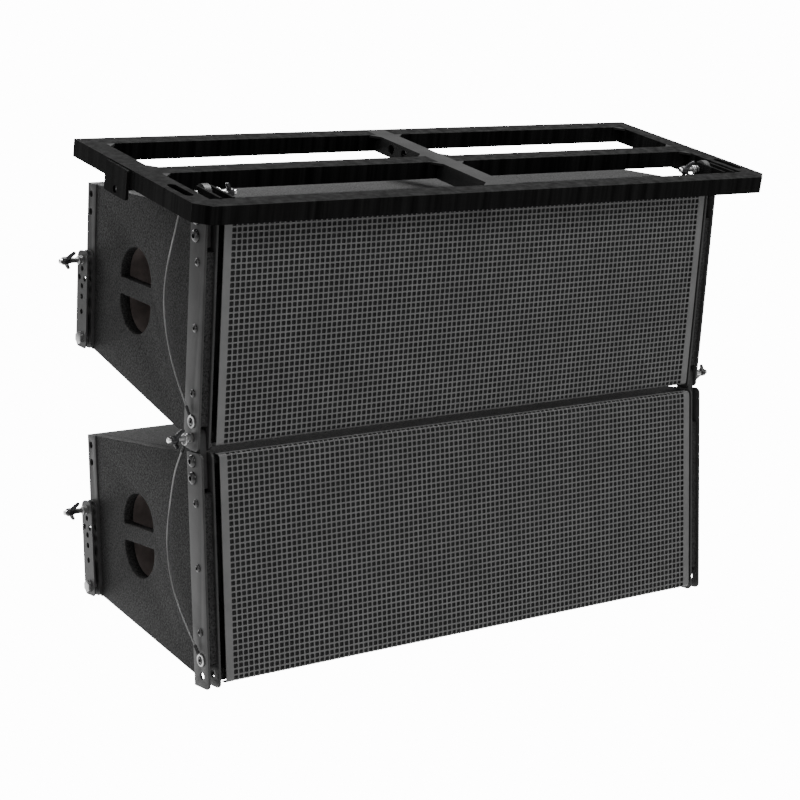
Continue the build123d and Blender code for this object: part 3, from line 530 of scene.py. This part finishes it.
def grille_profile(run):
    """(depth, height) at a distance along the folded sheet from its middle."""
    low, high = 1.0, FRONT_HEIGHT - 1.0
    flat = (high - low) / 2 - GRILLE_BEND
    bend = GRILLE_BEND * math.pi / 2
    middle = (low + high) / 2
    way = 1 if run >= 0 else -1
    run = abs(run)
    if run <= flat:
        return 0.0, middle + way * run
    if run <= flat + bend:
        a = (run - flat) / GRILLE_BEND
        y = GRILLE_BEND + GRILLE_BEND * -math.cos(a)
        z = middle + way * flat + GRILLE_BEND * (way * math.sin(a))
        return y, z
    return GRILLE_BEND + run - flat - bend, middle + way * (flat + GRILLE_BEND)


# one cell of the grille: its pitch, half a hole's width, and the hole's corner radius
CELL = (10.0, 3.95, 1.6)
CELL_COLUMNS, CELL_ROWS = 101, 40


def grille(level):
    """The folded sheet with its square grid of rounded-square holes."""
    pitch, hole, corner = CELL
    columns, rows = CELL_COLUMNS, CELL_ROWS
    bend = GRILLE_BEND * math.pi / 2
    full = (FRONT_HEIGHT - 2) / 2 - GRILLE_BEND + bend + GRILLE_RETURN - GRILLE_BEND
    inner = []
    for quarter in range(4):
        for n in range(3):
            a = math.radians(90 * quarter + 45 * n)
            cx = (hole - corner) * (1 if quarter in (0, 3) else -1)
            cz = (hole - corner) * (1 if quarter in (0, 1) else -1)
            inner.append((cx + corner * math.cos(a), cz + corner * math.sin(a)))
    half = pitch / 2
    outer = []
    for x, z in inner:
        big = max(abs(x), abs(z))
        if abs(abs(x) - abs(z)) < 0.3:
            outer.append((math.copysign(half, x), math.copysign(half, z)))
        elif abs(x) == big:
            outer.append((math.copysign(half, x), math.copysign(hole - corner, z)))
        else:
            outer.append((math.copysign(hole - corner, x), math.copysign(half, z)))
    flat, faces = [], []
    for row in range(rows):
        for column in range(columns):
            cx = (column - (columns - 1) / 2) * pitch
            cz = (row - (rows - 1) / 2) * pitch
            first = len(flat)
            flat += [(cx + x, cz + z) for x, z in inner + outer]
            faces += [[first + n, first + (n + 1) % 12, first + 12 + (n + 1) % 12, first + 12 + n]
                      for n in range(12)]
    edge_x, edge_z = columns * half, rows * half
    stops = []
    for row in range(rows):
        cz = (row - (rows - 1) / 2) * pitch
        stops += [cz - half, cz - (hole - corner), cz + (hole - corner)]
    stops.append(edge_z)
    for s in (-1, 1):
        for low, high in zip(stops, stops[1:]):
            first = len(flat)
            flat += [
                (s * edge_x, low), (s * GRILLE_HALF, low), (s * GRILLE_HALF, high), (s * edge_x, high),
            ]
            faces.append([first, first + 1, first + 2, first + 3])
        across = [-GRILLE_HALF, -edge_x]
        for column in range(columns):
            cx = (column - (columns - 1) / 2) * pitch
            across += [cx - (hole - corner), cx + (hole - corner), cx + half]
        across.append(GRILLE_HALF)
        for low, high in zip(across, across[1:]):
            first = len(flat)
            flat += [(low, s * edge_z), (high, s * edge_z), (high, s * full), (low, s * full)]
            faces.append([first, first + 1, first + 2, first + 3])
    matrix = CABINETS[level]
    verts = []
    for x, run in flat:
        y, z = grille_profile(run)
        verts.append(place(matrix, x, y, z))
    mesh = bpy.data.meshes.new(f"{level}_grille_sheet")
    mesh.from_pydata(verts, [], faces)
    obj = bpy.data.objects.new(f"{level}_grille_sheet", mesh)
    bpy.context.scene.collection.objects.link(obj)
    work = bmesh.new()
    work.from_mesh(mesh)
    bmesh.ops.remove_doubles(work, verts=work.verts, dist=1e-5)
    bmesh.ops.recalc_face_normals(work, faces=work.faces)
    front = matrix.to_3x3() @ Vector((0, -1, 0))
    if sum(face.normal.dot(front) for face in list(work.faces)[:50]) < 0:
        bmesh.ops.reverse_faces(work, faces=work.faces)
    work.to_mesh(mesh)
    work.free()
    mesh.materials.append(GRILLE)
    thick = obj.modifiers.new("sheet", "SOLIDIFY")
    thick.thickness = GRILLE_SHEET * MM
    thick.offset = -1
    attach(obj, f"{level}_cabinet")
    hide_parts(f"{level}_grille")


FOAM_FRONT, FOAM_BACK = 5.2, 9.5
FOAM_HALF = 514
FOAM_FOOT, FOAM_TALL = 5, 376


def foam(level):
    """Open-cell foam that lines the grille, gently uneven."""
    matrix = CABINETS[level]
    verts, faces = [], []
    columns, rows = 96, 36
    for layer, depth in ((0, FOAM_FRONT), (1, FOAM_BACK)):
        for row in range(rows + 1):
            for column in range(columns + 1):
                x = -FOAM_HALF + 2 * FOAM_HALF * column / columns
                z = FOAM_FOOT + FOAM_TALL * row / rows
                ripple = 0.5 * math.sin(x / 37) * math.sin(z / 29) + 0.3 * math.sin(x / 11 + z / 17)
                verts.append(place(matrix, x, depth + (ripple if layer == 0 else 0), z))
    size = (rows + 1) * (columns + 1)
    for layer in (0, 1):
        for row in range(rows):
            for column in range(columns):
                a = layer * size + row * (columns + 1) + column
                faces.append([a, a + 1, a + columns + 2, a + columns + 1])
    rim = list(range(columns + 1))
    rim += [(r + 1) * (columns + 1) - 1 for r in range(1, rows + 1)]
    rim += [rows * (columns + 1) + c for c in range(columns - 1, -1, -1)]
    rim += [r * (columns + 1) for r in range(rows - 1, 0, -1)]
    for a, b in zip(rim, rim[1:] + rim[:1]):
        faces.append([a, b, size + b, size + a])
    obj = put(f"{level}_grille_foam", verts, faces, FOAM, f"{level}_cabinet")


# ------------------------------------------------------------------ cabinet woodwork and plates

def moon(way, steps=22):
    """Half of the handle's round-ended opening, above or below the bar."""
    y, z = HANDLE
    centre = HANDLE_HEIGHT / 2 - HANDLE_R
    loop = [
        (y - HANDLE_R + 2, z + way * HANDLE_BAR / 2), (y + HANDLE_R - 2, z + way * HANDLE_BAR / 2),
    ]
    loop.append((y + HANDLE_R, z + way * (HANDLE_BAR / 2 + 2)))
    for n in range(steps + 1):
        a = math.pi * n / steps
        loop.append((y + HANDLE_R * math.cos(a), z + way * (centre + HANDLE_R * math.sin(a))))
    loop.append((y - HANDLE_R, z + way * (HANDLE_BAR / 2 + 2)))
    return loop


REAR_EDGE = (
    (STRIP_FRONT, bottom_at(STRIP_FRONT)), (DEPTH, REAR_BOTTOM), (DEPTH, REAR_TOP),
    (STRIP_FRONT, top_at(STRIP_FRONT)),
)


def side_panel(level, side, s):
    """One side's woodwork: the panel, its thinner rear edge, and the cheek beside the link plates."""
    matrix = CABINETS[level]
    body = f"{level}_cabinet"
    outline = [
        (PLATE_BACK, bottom_at(PLATE_BACK)), (STRIP_FRONT, bottom_at(STRIP_FRONT)),
        (STRIP_FRONT, top_at(STRIP_FRONT)), (PLATE_BACK, top_at(PLATE_BACK)),
    ]
    panel = plate_piece(
        f"{level}_{side}_side_panel", [outline, moon(1), moon(-1)], s * SIDE_IN, s * SIDE_OUT,
        matrix, PAINT, body, rim=1.2,
    )
    rear = plate_piece(
        f"{level}_{side}_side_panel_rear", [REAR_EDGE], s * SIDE_IN, s * OUTER_PLATE[0],
        matrix, PAINT, body, rim=0.3,
    )
    cheek = plate_piece(
        f"{level}_{side}_cheek", [CHEEK], s * SIDE_IN, s * OUTER_PLATE[0],
        matrix, PAINT, body, rim=1.5,
    )
    return panel


def strip_plates(level, side, s):
    """The outer and inner front plates and the rear strip on one side."""
    matrix = CABINETS[level]
    body = f"{level}_cabinet"
    bottom = arc((14.0, 3.0), PLATE_CORNER, 180, 270, 6)
    top = arc((14.0, PLATE_TOP - PLATE_CORNER), PLATE_CORNER, 90, 180, 6)
    # the loop runs round the bottom front corner, the bottom edge, the back and the top front corner
    loop = bottom + [(PLATE_BACK, PLATE_BOTTOM), (PLATE_BACK, PLATE_TOP)] + top
    pieces = []
    for name, (low, high) in (("outer", OUTER_PLATE), ("inner", INNER_PLATE)):
        pieces.append(plate_piece(
            f"{level}_{side}_{name}_front_plate", [loop, circle(SLOT_PIN, PIN_HOLE_R)],
            s * low, s * high, matrix, SATIN, body, rim=0.6,
        ))
    holes = [circle(spot, PIN_HOLE_R) for spot in STRIP_HOLES]
    pieces.append(plate_piece(
        f"{level}_{side}_rear_strip", [REAR_EDGE] + holes, s * OUTER_PLATE[0], s * OUTER_PLATE[1],
        matrix, SATIN, body, rim=0.6,
    ))
    return pieces


for level in CABINETS:
    grille(level)
    foam(level)
    panels = [side_panel(level, side, s) for side, s in SIDES]
    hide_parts(f"{level}_side_panels")
    plates = [strip_plates(level, side, s) for side, s in SIDES]
    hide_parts(f"{level}_rigging_plates")
    for name in ("top_panel", "bottom_panel", "rear_panel"):
        paint_node(f"{level}_{name}", PAINT, 1.0)
    paint_node(f"{level}_front_baffle", PAINT)
    paint_node(f"{level}_handle_pockets", POCKET)
    paint_node(f"{level}_links", SATIN, 0.8)
    paint_node(f"{level}_woofer_frames", CASTING)
    paint_node(f"{level}_woofer_cones", CONE)
    paint_node(f"{level}_hf_horn", HORN)
    paint_node(f"{level}_hf_driver", CASTING)
    paint_node(f"{level}_input_panel", PANEL, 0.6)
    for side, _ in SIDES:
        paint_node(f"{level}_{side}_rear_arm", SATIN, 0.6)


# ------------------------------------------------------------------ bolts, screws and eyelets

# radius, height and recess radius of a domed head
BOLT_HEAD = (11.0, 6.0, 4.0)
SCREW_HEAD = (7.0, 3.5, 2.6)
HEX_HEAD = (564.2, 571.2, 10.97)
# turned outlines: (distance outwards, radius)
PIVOT_SHANK = ((532, 0), (532, 6), (564.4, 6), (564.4, 0))
PIVOT_WASHER = ((550.1, 6.1), (550.1, 11.5), (550.9, 11.5), (550.9, 6.1))
EYELET_RIM = (
    (0.0, 7.2), (0.0, 10.4), (0.6, 11.0), (2.2, 11.0), (3.0, 10.0), (3.0, 8.2), (2.4, 7.2), (0.0, 7.2),
)


def domed_head(matrix, s, spot, radius, height, socket):
    """A button head on a shank, with a round recess for its key."""
    shape = [
        (-24.0, 0.0), (-24.0, radius * 0.5), (0.0, radius * 0.5), (0.0, radius * 0.97), (0.5, radius),
    ]
    for n in range(1, 8):
        a = math.pi / 2 * n / 8
        r = radius * math.cos(a)
        if r > socket + 0.5:
            shape.append((0.5 + (height - 0.5) * math.sin(a), r))
    top = shape[-1][0]
    shape += [
        (top + 0.25, socket + 0.4), (top, socket),
        (top - height * 0.45, socket * 0.92), (top - height * 0.55, 0.0),
    ]
    return turning(shape, matrix, (s * HALF_WIDTH, *spot), s, 36)


def hex_head(matrix, s, spot, low, high, radius):
    """A hexagon with a chamfered crown."""
    verts, faces = [], []
    for u, r in ((low, radius), (high - 1.3, radius), (high - 0.2, radius * 0.87), (high, radius * 0.80)):
        for n in range(6):
            a = math.pi * (n / 3 + 1 / 6)
            verts.append(place(matrix, s * u, spot[0] + r * math.cos(a), spot[1] + r * math.sin(a)))
    for ring in range(3):
        for n in range(6):
            m = (n + 1) % 6
            faces.append([ring * 6 + n, ring * 6 + m, ring * 6 + 6 + m, ring * 6 + 6 + n])
    faces += [list(range(6))[::-1], [18 + n for n in range(6)]]
    return verts, faces


def torus(matrix, x, centre, radius, wire, steps=40):
    """A wire ring that lies across X."""
    y, z = centre
    ring = [(y + radius * math.cos(a), z + radius * math.sin(a))
            for a in (2 * math.pi * n / steps for n in range(steps))]
    verts, faces = [], []
    for n, (py, pz) in enumerate(ring):
        out = Vector((0, py - y, pz - z)).normalized()
        for k in range(10):
            a = 2 * math.pi * k / 10
            v = Vector((x, py, pz)) + out * (wire * math.cos(a))
            verts.append(place(matrix, *(v + Vector((1, 0, 0)) * (wire * math.sin(a)))))
    for n in range(steps):
        for k in range(10):
            m, j = (n + 1) % steps, (k + 1) % 10
            faces.append([n * 10 + k, m * 10 + k, m * 10 + j, n * 10 + j])
    return verts, faces


for level, matrix in CABINETS.items():
    body = f"{level}_cabinet"
    heads, screws, bright, eyes = [], [], [], []
    for side, s in SIDES:
        heads += [domed_head(matrix, s, spot, *BOLT_HEAD) for spot in LINK_BOLTS]
        screws += [domed_head(matrix, s, spot, *SCREW_HEAD) for spot in PLATE_SCREWS]
        bright.append(hex_head(matrix, s, ARM_PIVOT, *HEX_HEAD))
        bright.append(turning(PIVOT_SHANK, matrix, (0, *ARM_PIVOT), s))
        bright.append(turning(PIVOT_WASHER, matrix, (0, *ARM_PIVOT), s))
        eyes.append(turning(EYELET_RIM, matrix, (s * HALF_WIDTH, *EYELET), s))
        screws.append(domed_head(matrix, s, EYELET, *SCREW_HEAD))
        crimp_piece(f"{level}_{side}_lower_crimp", matrix, s, ROUTES[level][-1], ROUTES[level][-2], body)
    big = put(f"{level}_link_bolts", *merged(heads), BOLT, body)
    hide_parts(f"{level}_fasteners")
    put(f"{level}_plate_screws", *merged(screws), BOLT, body)
    put(f"{level}_pivot_bolts", *merged(bright), BRIGHT, body, angle=20)
    put(f"{level}_eyelets", *merged(eyes), BRIGHT, body)


# ------------------------------------------------------------------ quick-release pins

PIN_SHAPE = (
    (0.0, 7.1), (0.4, 7.5), (2.2, 7.5), (2.5, 7.0), (3.2, 7.0), (3.5, 7.5), (8.4, 7.5), (9.0, 6.9),
    (9.0, 5.0), (13.0, 4.8), (20.0, 4.8), (24.0, 5.2), (27.0, 6.2),
)
HUB_SHAPE = (
    (25.6, 4.9), (26.4, 6.4), (27.6, 7.1), (30.0, 7.4), (35.5, 7.4), (37.6, 7.0), (38.7, 6.1), (39.0, 5.2),
    (38.6, 4.7), (32.2, 4.62), (32.0, 0.0),
)
BUTTON_SHAPE = (
    (35.0, 0.0), (35.0, 4.45), (42.6, 4.45), *arc((42.6, 3.05), 1.4, 90, 0, 5), (44.3, 1.5), (44.4, 0.0),
)
# where each kind of pin's collar stands, and how far its tip reaches past that
INNER_PIN = (524, 30.0)
OUTER_PIN = (550, 26.0)
REAR_PIN = (564, 12.0)
# a wing starts outside the button's bore and ends at the handle's tip
WING_ROOT, WING_REACH, WING_BACK = 6.2, 16.8, 30.5
WING_ROLL, WING_LEAN = math.radians(36), math.radians(26)
BALL_R, BALL_IN, BALL_OUT = 1.5, 5.0, 5.2
RING_R, RING_WIRE, RING_SAG = 9.0, 1.1, 2.6


def wing(matrix, at, way, up):
    """One half of the swept-back T handle, an oval bar with a rounded end."""
    x0, y0, z0 = at
    centres, sizes = [], []
    for n in range(17):
        t = n / 16
        reach = WING_ROOT + WING_REACH * t
        back = WING_BACK - reach * math.tan(WING_LEAN) * (0.55 + 0.45 * t)
        y = y0 - up * reach * math.cos(WING_LEAN) * math.sin(WING_ROLL)
        z = z0 + up * reach * math.cos(WING_LEAN) * math.cos(WING_ROLL)
        centres.append(place(matrix, x0 + way * back, y, z))
        size = 4.3 - 1.1 * t
        if t > 0.86:
            size *= math.sqrt(max(0.04, 1 - ((t - 0.86) / 0.145) ** 2))
        sizes.append((size * 0.92 * MM, size * MM))
    return swept(centres, sizes, 18)


def quick_pin(level, s, spot, stand, way, tip, node, cord):
    """Shank, collar, hub with wings, locking balls, button and, at the front, ring and crimp."""
    matrix = CABINETS[level]
    at = (stand, *spot)
    shank = [(-tip, 0.0), (-tip, 4.6), (1.4 - tip, 5.9), (2.0 - tip, 6.0), (0.0, 6.0), (0.0, 7.1)]
    steel = [turning(shank + list(PIN_SHAPE[1:]) + [(27.2, 0.0)], matrix, at, way)]
    ball = arc((0.0, 0.0), BALL_R, 180, 0, 8)
    for n in (-1, 1):
        where = (stand + way * (BALL_IN - tip), spot[0], spot[1] + n * BALL_OUT)
        steel.append(turning(ball, matrix, where, way, 12))
    main = put(f"{node}_shank", *merged(steel), STEEL, node)
    parts = [turning(HUB_SHAPE, matrix, at, way)] + [wing(matrix, at, way, up) for up in (-1, 1)]
    handle = put(f"{node}_handle", *merged(parts), PIN_BLACK, node, angle=60)
    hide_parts(node)
    if cord:
        away = Vector((cord[0][1] - spot[0], cord[0][2] - spot[1])).normalized() * RING_SAG
        centre = (spot[0] + away.x, spot[1] + away.y)
        ring = torus(matrix, stand + way * 13, centre, RING_R, RING_WIRE)
        put(f"{node}_ring", *ring, BRIGHT, node)
        crimp_piece(f"{node}_crimp", matrix, s, cord[0], cord[1], node)
    button_node = node.replace("_pin", "_button")
    button = put(f"{button_node}_cap", *turning(BUTTON_SHAPE, matrix, at, way), CHROME, button_node)
    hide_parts(button_node)


for level, route in ROUTES.items():
    for side, s in SIDES:
        front = f"{level}_{side}_front_pin"
        (stand, tip), way = (INNER_PIN, -s) if level == "upper" else (OUTER_PIN, s)
        quick_pin(level, s, LINK_PIN, s * stand, way, tip, front, route)
        stand, tip = REAR_PIN
        quick_pin(level, s, ARM_PIN, s * stand, s, tip, f"{level}_{side}_rear_pin", None)


# ------------------------------------------------------------------ fly frame

paint_node("frame_tubes", FRAME_GLOSS, 2.0)
paint_node("frame_cross_tubes", FRAME_GLOSS, 2.0)
# the pick bar takes the lighter copy of the frame's black: a painted reflection of the sky on its top
paint_node("frame_pick_bar", FRAME_PAINTED_SHEEN, 2.0)
paint_node("frame_link_lugs", FRAME_GLOSS, 0.8)
paint_node("frame_rear_brackets", FRAME_GLOSS, 1.0)
# the gussets take the lighter copy too: painted highlights at the inner corners of the bays
paint_node("frame_corner_gussets", FRAME_PAINTED_SHEEN, 0.6)


# ------------------------------------------------------------------ input panels

# turned outlines: (distance out of the panel, radius)
SOCKET_RIM = ((0, 13.4), (0, 15.6), (1.6, 15.6), (2.4, 14.8), (2.4, 11.2), (1.2, 10.6), (0, 10.6))
SOCKET_CORE = ((-18, 0), (-18, 5.2), (1.0, 5.2), (1.8, 4.4), (1.8, 2.6), (-4, 2.4), (-4, 0))
SOCKET_SCREW = ((0, 3.0), (0.8, 2.8), (1.5, 1.8), (1.5, 1.1), (0.7, 0.9), (0.7, 0))
PANEL_SCREW = ((0, 4.2), (0.8, 4.0), (2.0, 2.6), (2.1, 1.6), (1.0, 1.3), (1.0, 0))
SOCKET_FACE = 415.1

for level, matrix in CABINETS.items():
    body = f"{level}_cabinet"
    # turned a quarter, so that the helpers' outward X runs to the rear
    rear = matrix @ Matrix.Rotation(math.radians(90), 4, "Z")
    rings, cores, heads = [], [], []
    for x in (-40.0, 40.0):
        rings.append(turning(SOCKET_RIM, rear, (SOCKET_FACE, -x, INPUT_Z), 1))
        cores.append(turning(SOCKET_CORE, rear, (SOCKET_FACE, -x, INPUT_Z), 1))
        for dx, dz in ((-12.5, 12.5), (12.5, -12.5)):
            heads.append(turning(SOCKET_SCREW, rear, (SOCKET_FACE, -x + dx, INPUT_Z + dz), 1, 20))
    for x in (-84.0, 0.0, 84.0):
        for z in (-45.0, 45.0):
            heads.append(turning(PANEL_SCREW, rear, (INPUT_FACE, -x, INPUT_Z + z), 1, 24))
    put(f"{level}_socket_rims", *merged(rings), SOCKET, body)
    put(f"{level}_socket_cores", *merged(cores), SOCKET, body)
    put(f"{level}_panel_screws", *merged(heads), BOLT, body)


# ------------------------------------------------------------------ floor, light, world

FLOOR_DROP = 0.55
FLOOR_HALF = 30
SWEEP_STRENGTH = 14.0

floor_z = cad_low.z - FLOOR_DROP
floor_verts = [(x * FLOOR_HALF, y * FLOOR_HALF, floor_z) for x, y in ((-1, -1), (1, -1), (1, 1), (-1, 1))]
floor_mesh = bpy.data.meshes.new("floor")
floor_mesh.from_pydata(floor_verts, [], [[0, 1, 2, 3]])
floor = bpy.data.objects.new("floor", floor_mesh)
bpy.context.scene.collection.objects.link(floor)
pale, pale_tree, pale_bsdf, _ = shader("floor", (0.8, 0.8, 0.8), 0.9)
floor_mesh.materials.append(pale)
# the camera sees an even white emission, as in the photo; every other ray sees a plain pale floor
sweep = pale_tree.nodes.new("ShaderNodeEmission")
sweep.inputs["Strength"].default_value = SWEEP_STRENGTH
choose = pale_tree.nodes.new("ShaderNodeMixShader")
rays = pale_tree.nodes.new("ShaderNodeLightPath")
pale_tree.links.new(rays.outputs["Is Camera Ray"], choose.inputs["Fac"])
pale_tree.links.new(pale_bsdf.outputs["BSDF"], choose.inputs[1])
pale_tree.links.new(sweep.outputs["Emission"], choose.inputs[2])
pale_tree.links.new(choose.outputs["Shader"], pale_tree.nodes["Material Output"].inputs["Surface"])


def soft_light(name, at, aim, size, watts):
    """A rectangular light at one point, turned towards another."""
    data = bpy.data.lights.new(name, "AREA")
    data.shape = "RECTANGLE"
    data.size, data.size_y = size
    data.energy = watts
    obj = bpy.data.objects.new(name, data)
    bpy.context.scene.collection.objects.link(obj)
    obj.location = at
    obj.rotation_euler = (Vector(aim) - Vector(at)).to_track_quat("-Z", "Y").to_euler()


soft_light("key", (-1.0, -3.2, 2.2), (0, -0.3, -0.4), (2.4, 1.4), 54)
soft_light("top", (0.3, 0.6, 2.8), (0, 0, -0.3), (3.0, 2.0), 430)
soft_light("left", (-3.4, 0.2, 0.4), (-0.5, 0, -0.4), (1.2, 2.2), 11)
soft_light("rear", (-0.5, 3.2, 0.6), (-0.3, 0, -0.5), (2.0, 1.4), 80)
soft_light("right", (3.2, -2.2, 1.2), (0, -0.2, -0.4), (1.4, 2.2), 30)

world = bpy.data.worlds.new("studio")
bpy.context.scene.world = world
world.use_nodes = True
world.node_tree.nodes["Background"].inputs["Color"].default_value = (1, 1, 1, 1)
world.node_tree.nodes["Background"].inputs["Strength"].default_value = 0.45
